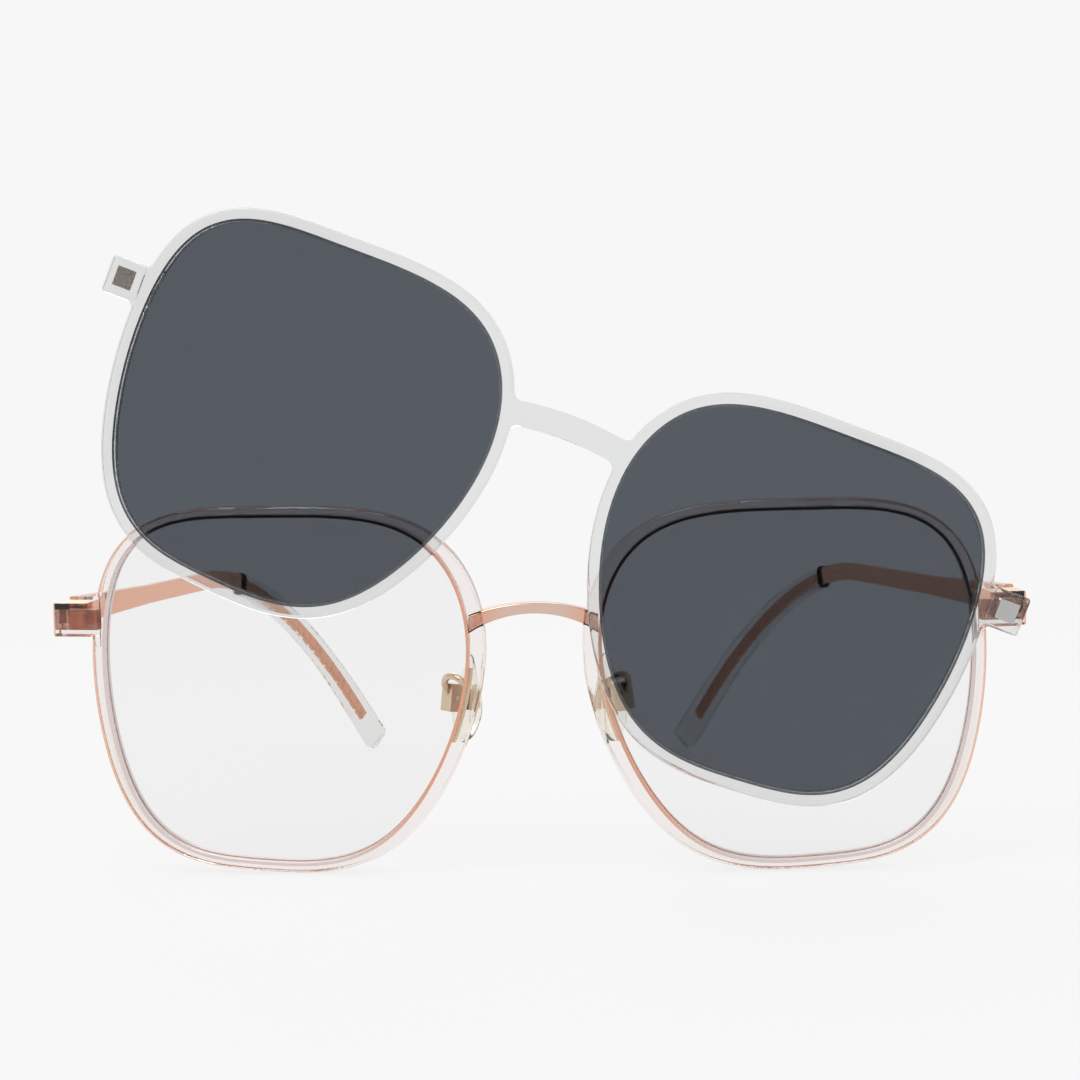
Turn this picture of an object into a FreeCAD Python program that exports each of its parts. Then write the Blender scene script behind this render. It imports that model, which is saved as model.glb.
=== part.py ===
"""Eyeglasses with a magnetic clip-on: a clear combination frame and a clear clip with dark lenses.

Front coordinates: X to the wearer's left as seen from the front (the photo's right), Y from the
viewer towards the face, Z up, zero midway between the lenses.  The front lies on one large sphere.
A depth is counted from that sphere, positive towards the viewer.  The front then leans by the
pantoscopic tilt, and the whole object is moved so that its origin is the middle of its foot.
"""
import FreeCAD, Part
import math
import os

Vector = FreeCAD.Vector
Rotation = FreeCAD.Rotation
Placement = FreeCAD.Placement

# Driving dimensions, millimetres and degrees
SIZES = {
    # front shape
    "front_curve": 500.0,
    "lens_spacing": 72.0,
    "corner1_out": 28.5, "corner1_up": 21.0,
    "corner2_out": 3.0, "corner2_up": 20.0,
    "corner3_out": -21.7, "corner3_up": 21.0,
    "corner4_out": -30.0, "corner4_up": 0.1,
    "corner5_out": -15.9, "corner5_up": -30.5,
    "corner6_out": 4.4, "corner6_up": -29.4,
    "corner7_out": 24.9, "corner7_up": -27.7,
    "pantoscopic_tilt": 3.0,
    # base rims, eyewires and lenses
    "rim_depth": 3.2,
    "rim_end_width": 1.5,
    "rim_temple_width": 1.95,
    "rim_nose_width": 2.7,
    "rim_rounding": 0.45,
    "eyewire_wall": 0.45,
    "lens_thickness": 1.2,
    "lens_seat": 0.22,
    # lugs and their metal cores
    "lug_reach": 69.2,
    "lug_height": 4.8,
    "lug_level": 5.8,
    "lug_front": 1.9,
    "lug_back": 2.6,
    "lug_flare": 1.4,
    "lug_flare_inset": 0.45,
    "lug_rounding": 0.4,
    "core_height": 2.9,
    "core_length": 6.4,
    "core_skin": 0.15,
    "core_thickness": 2.3,
    "magnet_cover": 0.4,
    # magnets
    "magnet_out": 65.8,
    "magnet_level": 5.6,
    "frame_magnet_width": 2.5,
    "frame_magnet_depth": 1.7,
    "magnet_clearance": 0.05,
    "clip_magnet_side": 2.8,
    "clip_magnet_depth": 1.6,
    "magnet_gap": 0.06,
    # clip
    "clip_gap": 0.8,
    "clip_depth": 2.4,
    "clip_rim_width": 2.0,
    "clip_rounding": 0.35,
    "clip_lens_thickness": 0.9,
    "clip_lens_seat": 0.4,
    "tab_reach": 68.8,
    "tab_height": 5.6,
    "clip_swing": 21.8,
    "clip_bridge_top": 9.9,
    "clip_bridge_bottom": 6.3,
    "clip_bridge_shoulder": 0.9,
    "clip_bridge_fillet": 1.4,
    "tab_root_fillet": 0.9,
    "tab_end_fillet": 0.5,
    "clip_boss_side": 4.6,
    "clip_recess_out": 0.3,
    "clip_recess_width": 4.6,
    "clip_recess_depth": 0.3,
    # metal bridge
    "bridge_top": 7.95,
    "bridge_waist": 1.6,
    "bridge_root": 2.7,
    "bridge_drop": 1.6,
    "bridge_depth": 1.9,
    "bridge_proud": 1.0,
    "bridge_rounding": 0.4,
    "prong_inset": 0.5,
    # hinges
    "hinge_out": 65.9,
    "hinge_back": 9.7,
    "hinge_level": 6.7,
    "barrel_radius": 1.25,
    "barrel_height": 1.1,
    "barrel_gap": 0.05,
    "hinge_screw_radius": 0.6,
    "screw_clearance": 0.03,
    "screw_head_radius": 1.0,
    "screw_head_height": 0.5,
    "screw_slot": 0.25,
    "leaf_offset": 1.5,
    "leaf_thickness": 1.5,
    "stop_gap": 0.06,
    # temples
    "arm_front_height": 4.2,
    "arm_height": 3.0,
    "arm_thickness": 1.4,
    "arm_taper_length": 32.0,
    "arm_rounding": 0.35,
    "temple_reach": 100.0,
    "ear_length": 47.0,
    "ear_inward": 28.0,
    "ear_radius": 68.0,
    "sleeve_start": 80.0,
    "sleeve_height": 3.9,
    "sleeve_thickness": 2.4,
    "tip_height": 5.2,
    "tip_thickness": 3.0,
    "tip_rounding": 1.0,
    "core_wire_height": 1.9,
    "core_wire_thickness": 0.9,
    "core_wire_end": 7.0,
    "left_fold_rest": 7.0,
    "right_fold_rest": 15.0,
    # nose pads
    "pad_out": 10.4,
    "pad_back": 7.7,
    "pad_level": -6.9,
    "pad_turn": 43.0,
    "pad_lean": 8.0,
    "pad_height": 13.6,
    "pad_width": 7.6,
    "pad_thickness": 1.8,
    "pad_stem": 0.45,
    "pad_box_height": 4.0,
    "pad_box_width": 2.3,
    "pad_box_depth": 2.3,
    "pad_box_wall": 0.35,
    "pad_screw_radius": 0.35,
    "pad_play": 0.1,
    "pad_stud_height": 1.4,
    "pad_plate": 3.0,
    "pad_rounding": 0.6,
    "pad_wire_radius": 0.5,
    "wire_start_level": -4.5,
    "wire_end_rise": 0.6,
    "wire_bow_out": 1.3,
    "wire_bow_up": 2.0,
    "strip_top": -1.5,
    "strip_bottom": -12.2,
    "strip_width": 1.0,
    "strip_thickness": 0.6,
}

OUTLINE_SAMPLES = 32
SIDES = {"left": -1, "right": 1}

doc = FreeCAD.newDocument("clip_on_glasses")
sheet = doc.addObject("Spreadsheet::Sheet", "sizes")
for row, (alias, value) in enumerate(SIZES.items(), start=1):
    sheet.set(f"A{row}", alias)
    sheet.set(f"B{row}", str(value))
    sheet.setAlias(f"B{row}", alias)
doc.recompute()


def size(alias):
    """The value of one cell of the sheet."""
    return float(sheet.get(alias))


def feature(name, shape):
    """A plain feature for a form that no parametric object makes."""
    obj = doc.addObject("Part::Feature", name)
    obj.Shape = shape
    return obj


def bound(kind, name, **expressions):
    """A Part object whose properties are bound to the sheet."""
    obj = doc.addObject(kind, name)
    for prop, text in expressions.items():
        obj.setExpression(prop, text)
    return obj


def cut(name, base, tool):
    obj = doc.addObject("Part::Cut", name)
    obj.Base = base
    obj.Tool = tool
    obj.Refine = False
    return obj


def fuse(name, parts):
    obj = doc.addObject("Part::MultiFuse", name)
    obj.Shapes = parts
    obj.Refine = False
    return obj


def common(name, parts):
    obj = doc.addObject("Part::MultiCommon", name)
    obj.Shapes = parts
    obj.Refine = False
    return obj


def body_with_sketch(name, plane_role, placement):
    """A PartDesign body and its first sketch, on one of the body's own origin planes."""
    body = doc.addObject("PartDesign::Body", name)
    body.Placement = placement
    plane = [f for f in body.Origin.OriginFeatures if f.Role == plane_role][0]
    sketch = body.newObject("Sketcher::SketchObject", name + "_sketch")
    sketch.AttachmentSupport = (plane, [""])
    sketch.MapMode = "FlatFace"
    return body, sketch


# The front: one sphere, one lens outline

SPHERE_CENTRE = Vector(0, size("front_curve"), 0)
HALF_SPACING = size("lens_spacing") / 2
RIM_FRONT = size("rim_depth") / 2
CLIP_BACK = RIM_FRONT + size("clip_gap")
CLIP_FRONT = CLIP_BACK + size("clip_depth")
THROUGH = 30.0


def on_front(x, z, depth=0.0):
    """The point of the front's sphere above (x, z), raised by depth towards the viewer."""
    radius = size("front_curve") + depth
    return Vector(x, size("front_curve") - math.sqrt(radius ** 2 - x * x - z * z), z)


def cage_curve():
    """The lens outline as a closed smooth curve through its seven-cornered cage."""
    corners = [Vector(size(f"corner{i}_out"), 0, size(f"corner{i}_up")) for i in range(1, 8)]
    curve = Part.BSplineCurve()
    curve.buildFromPoles(corners, True, 3)
    return curve


CAGE = cage_curve()


def rim_width(normal):
    """Width of the clear rim where the outline faces along normal."""
    side = size("rim_temple_width") if normal.x > 0 else size("rim_nose_width")
    return size("rim_end_width") + (side - size("rim_end_width")) * normal.x ** 2


def outline_points(side, grow):
    """Points of the lens outline moved outwards by grow, a number or a function of the normal."""
    first, last = CAGE.FirstParameter, CAGE.LastParameter
    points = []
    for i in range(OUTLINE_SAMPLES):
        at = first + (last - first) * i / OUTLINE_SAMPLES
        tangent = CAGE.tangent(at)[0]
        normal = Vector(tangent.z, 0, -tangent.x)
        place = CAGE.value(at)
        if normal.dot(place) < 0:
            normal = -normal
        distance = grow(normal) if callable(grow) else grow
        place = place + normal * distance
        points.append(Vector(side * (HALF_SPACING + place.x), 0, place.z))
    return points


def outline_face(side, grow):
    curve = Part.BSplineCurve()
    curve.interpolate(Points=outline_points(side, grow), PeriodicFlag=True)
    return Part.Face(Part.Wire(curve.toShape()))


def prism(name, face):
    """A face of the XZ plane carried right through the front."""
    obj = doc.addObject("Part::Extrusion", name)
    obj.Base = feature(name + "_face", face)
    obj.DirMode = "Custom"
    obj.Dir = Vector(0, 1, 0)
    obj.LengthFwd = THROUGH
    obj.LengthRev = THROUGH
    obj.Solid = True
    return obj


def front_sphere(name, depth_expression):
    """The ball behind the front's surface, raised by the given expression."""
    ball = bound("Part::Sphere", name, Radius="sizes.front_curve + " + depth_expression)
    ball.Placement = Placement(SPHERE_CENTRE, Rotation())
    return ball


def curved_plate(name, blank, front_expression, back_expression):
    """The part of a prism between two depths of the front."""
    shell = cut(name + "_shell", front_sphere(name + "_front", front_expression),
                front_sphere(name + "_back", back_expression))
    return common(name, [blank, shell])


def rounded_outside(name, solid, radius, is_outside, shortest):
    """The same solid with its longer edges outside the given test rounded."""
    doc.recompute()
    chosen = []
    for edge in solid.Shape.Edges:
        middle = edge.valueAt((edge.FirstParameter + edge.LastParameter) / 2)
        if edge.Length > shortest and is_outside(middle):
            chosen.append(edge)
    return feature(name, solid.Shape.makeFillet(radius, chosen))


def beyond_outline(grow):
    """A test for points that lie outside both lens outlines grown by a distance."""
    face = outline_face(1, grow)
    return lambda point: not face.isInside(Vector(abs(point.x), 0, point.z), 1e-6, True)


def depth_of(point):
    """How far a point stands out from the front's sphere."""
    return (point - SPHERE_CENTRE).Length - size("front_curve")


def pivot_frame(side):
    """Placement on the front at a magnet: local Y goes straight into the front there."""
    seat = on_front(side * size("magnet_out"), size("magnet_level"))
    into = (SPHERE_CENTRE - seat).normalize()
    across = into.cross(Vector(0, 0, 1)).normalize()
    up = across.cross(into)
    return Placement(seat, Rotation(across, into, up, "YXZ"))


def edge_at(grow, level, direction):
    """Distance from the middle to the grown outline at a height: 1 on its temple side, -1 on its nose side."""
    points = outline_points(1, grow)
    crossings = []
    for here, after in zip(points, points[1:] + points[:1]):
        if (here.z - level) * (after.z - level) <= 0 and here.z != after.z:
            share = (level - here.z) / (after.z - here.z)
            crossings.append(here.x + share * (after.x - here.x))
    return max(crossings) if direction > 0 else min(crossings)


def cuboid(name, placement, low, high):
    """A box between two corners of a local frame."""
    box = doc.addObject("Part::Box", name)
    box.Length, box.Width, box.Height = high - low
    box.Placement = placement * Placement(low, Rotation())
    return box


def rod(name, placement, base, axis, radius_expression, height_expression):
    """A cylinder from base along axis, both in a local frame, bound to the sheet."""
    cylinder = bound("Part::Cylinder", name, Radius=radius_expression, Height=height_expression)
    cylinder.Placement = placement * Placement(base, Rotation(Vector(0, 0, 1), axis))
    return cylinder


def copy_in(name, source, placement):
    """A copy of a finished object carried into another frame."""
    doc.recompute()
    copy = feature(name, source.Shape)
    copy.Placement = placement * copy.Placement
    return copy


TILT = Placement(Vector(), Rotation(Vector(1, 0, 0), size("pantoscopic_tilt")))
PIVOT = pivot_frame(1)
HINGE = Placement(Vector(size("hinge_out"), size("hinge_back"), size("hinge_level")), Rotation())
UP = Vector(0, 0, 1)
BACKWARD = Vector(0, 1, 0)
PIECES = []


def piece(name, obj, carry):
    """Registers a finished piece and the placement that carries it from its own frame to the table."""
    obj.Label = name
    PIECES.append((name, obj, carry))


def pair(kind, obj, carry):
    """Registers a right-hand piece and its mirror image on the left."""
    piece("right_" + kind, obj, carry)
    image = doc.addObject("Part::Mirroring", "left_" + kind)
    image.Source = obj
    image.Normal = Vector(1, 0, 0)
    piece("left_" + kind, image, None)


# Base rims, eyewires and lenses

def lug_block():
    """The lug that flares into the temple side of a rim, in the frame of its magnet."""
    flare = size("lug_flare")
    top = size("lug_level") - size("magnet_level") + size("lug_height") / 2
    low = top - size("lug_height")
    start = edge_at(rim_width, size("lug_level"), 1) - size("magnet_out") - size("lug_flare_inset")
    outer = size("lug_reach") - size("magnet_out")
    inner = start - flare / 2
    bend = flare * (1 - math.sqrt(0.5))

    def at(x, z):
        return Vector(x, -size("lug_front"), z)

    edges = [
        Part.LineSegment(at(inner, low - flare), at(inner, top + flare)),
        Part.LineSegment(at(inner, top + flare), at(start, top + flare)),
        Part.Arc(at(start, top + flare), at(start + bend, top + bend), at(start + flare, top)),
        Part.LineSegment(at(start + flare, top), at(outer, top)),
        Part.LineSegment(at(outer, top), at(outer, low)),
        Part.LineSegment(at(outer, low), at(start + flare, low)),
        Part.Arc(at(start + flare, low), at(start + bend, low - bend), at(start, low - flare)),
        Part.LineSegment(at(start, low - flare), at(inner, low - flare)),
    ]
    face = Part.Face(Part.Wire(Part.__sortEdges__([edge.toShape() for edge in edges])))
    block = face.extrude(Vector(0, size("lug_front") + size("lug_back"), 0))
    end_edges = [e for e in block.Edges if all(abs(v.X - outer) < 0.01 for v in e.Vertexes)]
    lug = feature("lug", block.makeFillet(size("lug_rounding"), end_edges))
    lug.Placement = PIVOT
    return lug


def core_blank():
    """The metal plate in the lug and the leg behind it, without pocket and barrels, on the table's axes."""
    outer = size("hinge_out") + size("leaf_offset") + size("leaf_thickness") - size("magnet_out")
    middle = size("lug_level") - size("magnet_level")
    front = size("core_skin") - size("lug_front")
    half = size("core_height") / 2
    plate = cuboid("core_plate", TILT * PIVOT,
                   Vector(outer - size("core_length"), front, middle - half),
                   Vector(outer, front + size("core_thickness"), middle + half))
    start = on_front(size("magnet_out"), size("magnet_level")).y - size("hinge_back")
    leg = cuboid("core_leg", HINGE,
                 Vector(size("leaf_offset"), start, -half),
                 Vector(size("leaf_offset") + size("leaf_thickness"), -size("stop_gap"), half))
    return fuse("core_blank", [plate, leg])


def front_barrels():
    """The upper and lower hinge barrels with their webs, on the leg's inner side."""
    parts = []
    tall = size("barrel_height") - size("barrel_gap")
    start = size("barrel_height") / 2 + size("barrel_gap")
    for word, base in (("upper", start), ("lower", -start - tall)):
        barrel = rod(word + "_barrel", HINGE, Vector(0, 0, base), UP,
                     "sizes.barrel_radius", "sizes.barrel_height - sizes.barrel_gap")
        web = cuboid(word + "_web", HINGE, Vector(0, -size("barrel_radius"), base),
                     Vector(size("leaf_offset"), 0, base + tall))
        parts += [barrel, web]
    return parts


def endpiece(blank):
    """Core plate, leg and front barrels, bored for the magnet and the hinge screw."""
    solid = fuse("endpiece_solid", [blank] + front_barrels())
    bore = rod("front_bore", HINGE, Vector(0, 0, -2 * size("barrel_height")), UP,
               "sizes.hinge_screw_radius", "4 * sizes.barrel_height")
    pocket_front = size("core_skin") - size("lug_front") + size("magnet_cover")
    pocket = rod("magnet_pocket", TILT * PIVOT, Vector(0, pocket_front, 0), BACKWARD,
                 "sizes.frame_magnet_width / 2 + sizes.magnet_clearance", "sizes.core_thickness")
    return cut("right_endpiece", cut("endpiece_bored", solid, bore), pocket)


def frame_magnet():
    front = size("core_skin") - size("lug_front") + size("magnet_cover") + size("magnet_clearance")
    return rod("right_frame_magnet", PIVOT, Vector(0, front, 0), BACKWARD,
               "sizes.frame_magnet_width / 2", "sizes.frame_magnet_depth")


def hinge_screw():
    reach = 1.5 * size("barrel_height")
    shank = rod("screw_shank", HINGE, Vector(0, 0, -reach), UP,
                "sizes.hinge_screw_radius", "3 * sizes.barrel_height")
    head = rod("screw_head", HINGE, Vector(0, 0, reach), UP,
               "sizes.screw_head_radius", "sizes.screw_head_height")
    slot_half = size("screw_slot") / 2
    top = reach + size("screw_head_height")
    slot = cuboid("screw_slot", HINGE, Vector(-2 * size("screw_head_radius"), -slot_half, top - 2 * slot_half),
                  Vector(2 * size("screw_head_radius"), slot_half, top + 1))
    return cut("right_hinge_screw", fuse("screw_solid", [shank, head]), slot)


def metal_bridge():
    """The arched bridge, thin at its waist, with both ends let into the rims."""
    end_top = size("bridge_top") - size("bridge_drop")
    end_low = end_top - size("bridge_root")
    waist_low = size("bridge_top") - size("bridge_waist")
    half = edge_at(size("eyewire_wall"), end_top, -1) - size("prong_inset")
    middle = size("bridge_depth") / 2 - size("bridge_proud")
    body, sketch = body_with_sketch("bridge", "XZ_Plane", Placement(Vector(0, middle, 0), Rotation()))
    sketch.addGeometry([
        Part.Arc(Vector(-half, end_top, 0), Vector(0, size("bridge_top"), 0), Vector(half, end_top, 0)),
        Part.Arc(Vector(-half, end_low, 0), Vector(0, waist_low, 0), Vector(half, end_low, 0)),
        Part.LineSegment(Vector(-half, end_top, 0), Vector(-half, end_low, 0)),
        Part.LineSegment(Vector(half, end_top, 0), Vector(half, end_low, 0)),
    ], False)
    pad = body.newObject("PartDesign::Pad", "bridge_pad")
    pad.Profile = sketch
    pad.setExpression("Length", "sizes.bridge_depth")
    pad.SideType = "Symmetric"
    doc.recompute()
    fillet = body.newObject("PartDesign::Fillet", "bridge_fillet")
    long_edges = [f"Edge{i}" for i, e in enumerate(pad.Shape.Edges, 1) if isinstance(e.Curve, Part.Circle)]
    fillet.Base = (pad, long_edges)
    fillet.setExpression("Radius", "sizes.bridge_rounding")
    return body


def base_front(opening, wall_blank):
    """Rims, eyewires, lenses, bridge and endpieces."""
    bridge = metal_bridge()
    piece("bridge", bridge, TILT)
    lens_blank = prism("lens_blank", outline_face(1, size("lens_seat")))
    lens = curved_plate("right_demo_lens", lens_blank, "sizes.lens_thickness / 2", "-sizes.lens_thickness / 2")
    wire_plate = curved_plate("wire_plate", wall_blank, "sizes.rim_depth / 2", "-sizes.rim_depth / 2")
    wire = cut("right_eyewire", cut("wire_ring", wire_plate, opening), lens)
    rim_blank = prism("rim_blank", outline_face(1, rim_width))
    rim_plate = curved_plate("rim_plate", rim_blank, "sizes.rim_depth / 2", "-sizes.rim_depth / 2")
    ring = cut("rim_ring", fuse("rim_and_lug", [rim_plate, lug_block()]), wall_blank)
    blank = core_blank()
    slotted = cut("rim_slotted", ring, copy_in("core_tool", blank, TILT.inverse()))
    notched = cut("rim_notched", slotted, copy_in("prong_tool", bridge, Placement()))
    outside = beyond_outline(2 * size("eyewire_wall"))
    rim = rounded_outside("right_rim", notched, size("rim_rounding"), outside, 5 * size("lug_height"))
    pair("rim", rim, TILT)
    pair("eyewire", wire, TILT)
    pair("demo_lens", lens, TILT)
    pair("endpiece", endpiece(blank), Placement())
    pair("frame_magnet", frame_magnet(), TILT)
    pair("hinge_screw", hinge_screw(), Placement())


# Nose pads with their arms and boxes, the right-hand ones

def pad_frame():
    """Local X runs across the pad towards the face, Y out of the pad towards the nose, Z up along it."""
    turn = math.radians(size("pad_turn"))
    across = Vector(math.sin(turn), math.cos(turn), 0)
    out = Vector(-math.cos(turn), math.sin(turn), 0)
    centre = Vector(size("pad_out"), size("pad_back"), size("pad_level"))
    upright = Rotation(across, out, UP, "XYZ")
    return Placement(centre, upright * Rotation(Vector(1, 0, 0), -size("pad_lean")))


PAD = pad_frame()
BOX_FRONT = -size("pad_thickness") / 2 - size("pad_stem")
BOX_BACK = BOX_FRONT - size("pad_box_depth")
PIN_DEPTH = BOX_FRONT - size("pad_box_depth") / 2


def pad_arm(opening, box_outside):
    """A flat strip along the nose side of the eyewire's back and a bent wire to the pad's box."""
    blank = prism("strip_blank", outline_face(1, size("strip_width")))
    plate = curved_plate("strip_plate", blank, "-sizes.rim_depth / 2",
                         "-sizes.rim_depth / 2 - sizes.strip_thickness")
    low = Vector(0, -THROUGH, size("strip_bottom"))
    high = Vector(HALF_SPACING / 2, THROUGH, size("strip_top"))
    window = cuboid("strip_window", Placement(), low, high)
    strip = common("strip", [cut("strip_ring", plate, opening), window])
    level = size("wire_start_level")
    start = on_front(edge_at(size("strip_width") / 2, level, -1), level, -RIM_FRONT - size("strip_thickness") / 2)
    end = PAD.multVec(Vector(0, BOX_BACK + size("pad_box_wall") / 2, size("wire_end_rise")))
    crest = (start + end) / 2 + Vector(size("wire_bow_out"), 0, size("wire_bow_up"))
    path = Part.Wire(Part.Arc(start, crest, end).toShape())
    direction = path.Edges[0].tangentAt(path.Edges[0].FirstParameter)
    circle = Part.Wire(Part.Circle(start, direction, size("pad_wire_radius")).toShape())
    wire = feature("pad_wire", path.makePipeShell([circle], True, True))
    behind_rim = front_sphere("behind_rim", "-sizes.rim_depth / 2")
    trimmed = common("pad_arm_trimmed", [fuse("pad_arm_solid", [strip, wire]), behind_rim])
    return cut("right_pad_arm", trimmed, box_outside)


def pad_box():
    """An open metal cup that takes the pad's stud between two walls, and its outside as a block."""
    half_width = size("pad_box_width") / 2
    half_height = size("pad_box_height") / 2
    wall = size("pad_box_wall")
    outside = cuboid("box_outside", PAD, Vector(-half_width, BOX_BACK, -half_height),
                     Vector(half_width, BOX_FRONT, half_height))
    inside = cuboid("box_inside", PAD, Vector(wall - half_width, BOX_BACK + wall, wall - half_height),
                    Vector(half_width - wall, BOX_FRONT + 1, half_height - wall))
    pin_hole = rod("box_pin_hole", PAD, Vector(-half_width - 1, PIN_DEPTH, 0), Vector(1, 0, 0),
                   "sizes.pad_screw_radius", "sizes.pad_box_width + 2")
    return cut("right_pad_box", cut("box_cup", outside, inside), pin_hole), outside


def pad_screw():
    return rod("right_pad_screw", PAD, Vector(-size("pad_box_width") / 2, PIN_DEPTH, 0), Vector(1, 0, 0),
               "sizes.pad_screw_radius", "sizes.pad_box_width")


def pad_core():
    """The stud in the box and the small plate that holds it inside the pad."""
    half_width = size("pad_box_width") / 2 - size("pad_box_wall") - size("pad_play")
    half_height = size("pad_stud_height") / 2
    stud = cuboid("stud", PAD, Vector(-half_width, PIN_DEPTH, -half_height), Vector(half_width, 0, half_height))
    eye = rod("stud_eye", PAD, Vector(-half_width, PIN_DEPTH, 0), Vector(1, 0, 0), "sizes.pad_stud_height / 2",
              "sizes.pad_box_width - 2 * sizes.pad_box_wall - 2 * sizes.pad_play")
    plate_half = size("pad_plate") / 2
    plate = cuboid("stud_plate", PAD, Vector(-plate_half, -plate_half / 4, -plate_half),
                   Vector(plate_half, plate_half / 4, plate_half))
    pin_hole = rod("stud_pin_hole", PAD, Vector(-half_width - 1, PIN_DEPTH, 0), Vector(1, 0, 0),
                   "sizes.pad_screw_radius + sizes.screw_clearance", "sizes.pad_box_width + 2")
    return cut("right_pad_core", fuse("stud_solid", [stud, eye, plate]), pin_hole)


def nose_pad(core):
    """A soft drop-shaped pad with rounded edges, moulded round its core."""
    half_width = size("pad_width") / 2
    half_height = size("pad_height") / 2
    shares = [(0.0, 1.0), (0.72, 0.62), (1.0, -0.15), (0.8, -0.72), (0.1, -1.0),
              (-0.62, -0.8), (-1.0, -0.2), (-0.72, 0.6)]
    points = [Vector(x * half_width, -size("pad_thickness") / 2, z * half_height) for x, z in shares]
    curve = Part.BSplineCurve()
    curve.interpolate(Points=points, PeriodicFlag=True)
    drop = Part.Face(Part.Wire(curve.toShape())).extrude(Vector(0, size("pad_thickness"), 0))
    long_edges = [edge for edge in drop.Edges if edge.Length > size("pad_height")]
    rounded = feature("pad_rounded", drop.makeFillet(size("pad_rounding"), long_edges))
    rounded.Placement = PAD
    return cut("right_nose_pad", rounded, core)


def nose_pads(opening):
    box, box_outside = pad_box()
    core = pad_core()
    pair("pad_arm", pad_arm(opening, box_outside), TILT)
    pair("pad_box", box, TILT)
    pair("pad_screw", pad_screw(), TILT)
    pair("nose_pad", nose_pad(core), TILT)
    pair("pad_core", core, TILT)


# Clip-on: frame, lenses and magnets, built as it sits on the front

CLIP_CARRY = TILT * PIVOT * Placement(Vector(), Rotation(BACKWARD, size("clip_swing"))) * PIVOT.inverse()


def clip_bridge_face():
    """The clip's bridge seen from the front, its ends inside the grown outlines."""
    half = edge_at(size("clip_rim_width"), size("clip_bridge_bottom"), -1) + size("clip_rim_width") / 2
    top = size("clip_bridge_top")
    low = size("clip_bridge_bottom")
    shoulder = top - size("clip_bridge_shoulder")
    foot = low - size("clip_bridge_shoulder")
    return Part.Face(Part.Wire([
        Part.Arc(Vector(-half, 0, shoulder), Vector(0, 0, top), Vector(half, 0, shoulder)).toShape(),
        Part.LineSegment(Vector(half, 0, shoulder), Vector(half, 0, foot)).toShape(),
        Part.Arc(Vector(half, 0, foot), Vector(0, 0, low), Vector(-half, 0, foot)).toShape(),
        Part.LineSegment(Vector(-half, 0, foot), Vector(-half, 0, shoulder)).toShape(),
    ]))


def clip_tab_prism(word, side):
    """The block behind one tab, from inside the rim to the tab's end."""
    start = edge_at(size("clip_rim_width") / 2, size("magnet_level"), 1)
    low = size("magnet_level") - size("tab_height") / 2
    near, far = sorted((side * start, side * size("tab_reach")))
    return cuboid(word + "_tab", Placement(), Vector(near, -THROUGH, low),
                  Vector(far, THROUGH, low + size("tab_height")))


def rounded_uprights(solid, radius, nearest, farthest):
    """The solid with its upright edges between two distances from the middle rounded."""
    chosen = []
    for edge in solid.Edges:
        if abs(edge.BoundBox.YLength - 2 * THROUGH) < 0.01 and edge.BoundBox.XLength < 0.01:
            if nearest < abs(edge.Vertexes[0].X) < farthest:
                chosen.append(edge)
    return solid.makeFillet(radius, chosen)


def clip_blank():
    """The solid behind the clip's front view, with its corners rounded."""
    grow = size("clip_rim_width")
    parts = [prism("clip_bridge_prism", clip_bridge_face())]
    for word, side in SIDES.items():
        parts += [prism(word + "_clip_prism", outline_face(side, grow)), clip_tab_prism(word, side)]
    joined = fuse("clip_joined", parts)
    doc.recompute()
    solid = joined.Shape.Solids[0]
    root = size("tab_reach") - size("tab_height") / 2
    solid = rounded_uprights(solid, size("clip_bridge_fillet"), 0, HALF_SPACING / 2)
    solid = rounded_uprights(solid, size("tab_root_fillet"), root - size("tab_height"), root)
    solid = rounded_uprights(solid, size("tab_end_fillet"), root, size("tab_reach") + 1)
    return feature("clip_blank", solid.Solids[0])


def clip_boss(word, side):
    """The back of a tab, brought down to the lug's face."""
    half = size("clip_boss_side") / 2
    near = -CLIP_FRONT + size("clip_depth") / 2
    far = -size("lug_front") - size("magnet_gap")
    return cuboid(word + "_clip_boss", pivot_frame(side), Vector(-half, near, -half), Vector(half, far, half))


def square_magnet(name, side, play):
    """The square magnet at the back of a tab, or its pocket when given some play."""
    half = size("clip_magnet_side") / 2 + play
    far = -size("lug_front") - size("magnet_gap")
    near = far - size("clip_magnet_depth") - play
    return cuboid(name, pivot_frame(side), Vector(-half, near, -half), Vector(half, far + play, half))


def clip_lens(word, side):
    middle = "sizes.rim_depth / 2 + sizes.clip_gap + sizes.clip_depth / 2"
    blank = prism(word + "_clip_lens_blank", outline_face(side, size("clip_lens_seat")))
    return curved_plate("clip_lens_" + word, blank, middle + " + sizes.clip_lens_thickness / 2",
                        middle + " - sizes.clip_lens_thickness / 2")


def on_clip_face(point):
    """Whether a point lies on the clip's front or back face."""
    return min(abs(depth_of(point) - CLIP_FRONT), abs(depth_of(point) - CLIP_BACK)) < 0.1


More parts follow.
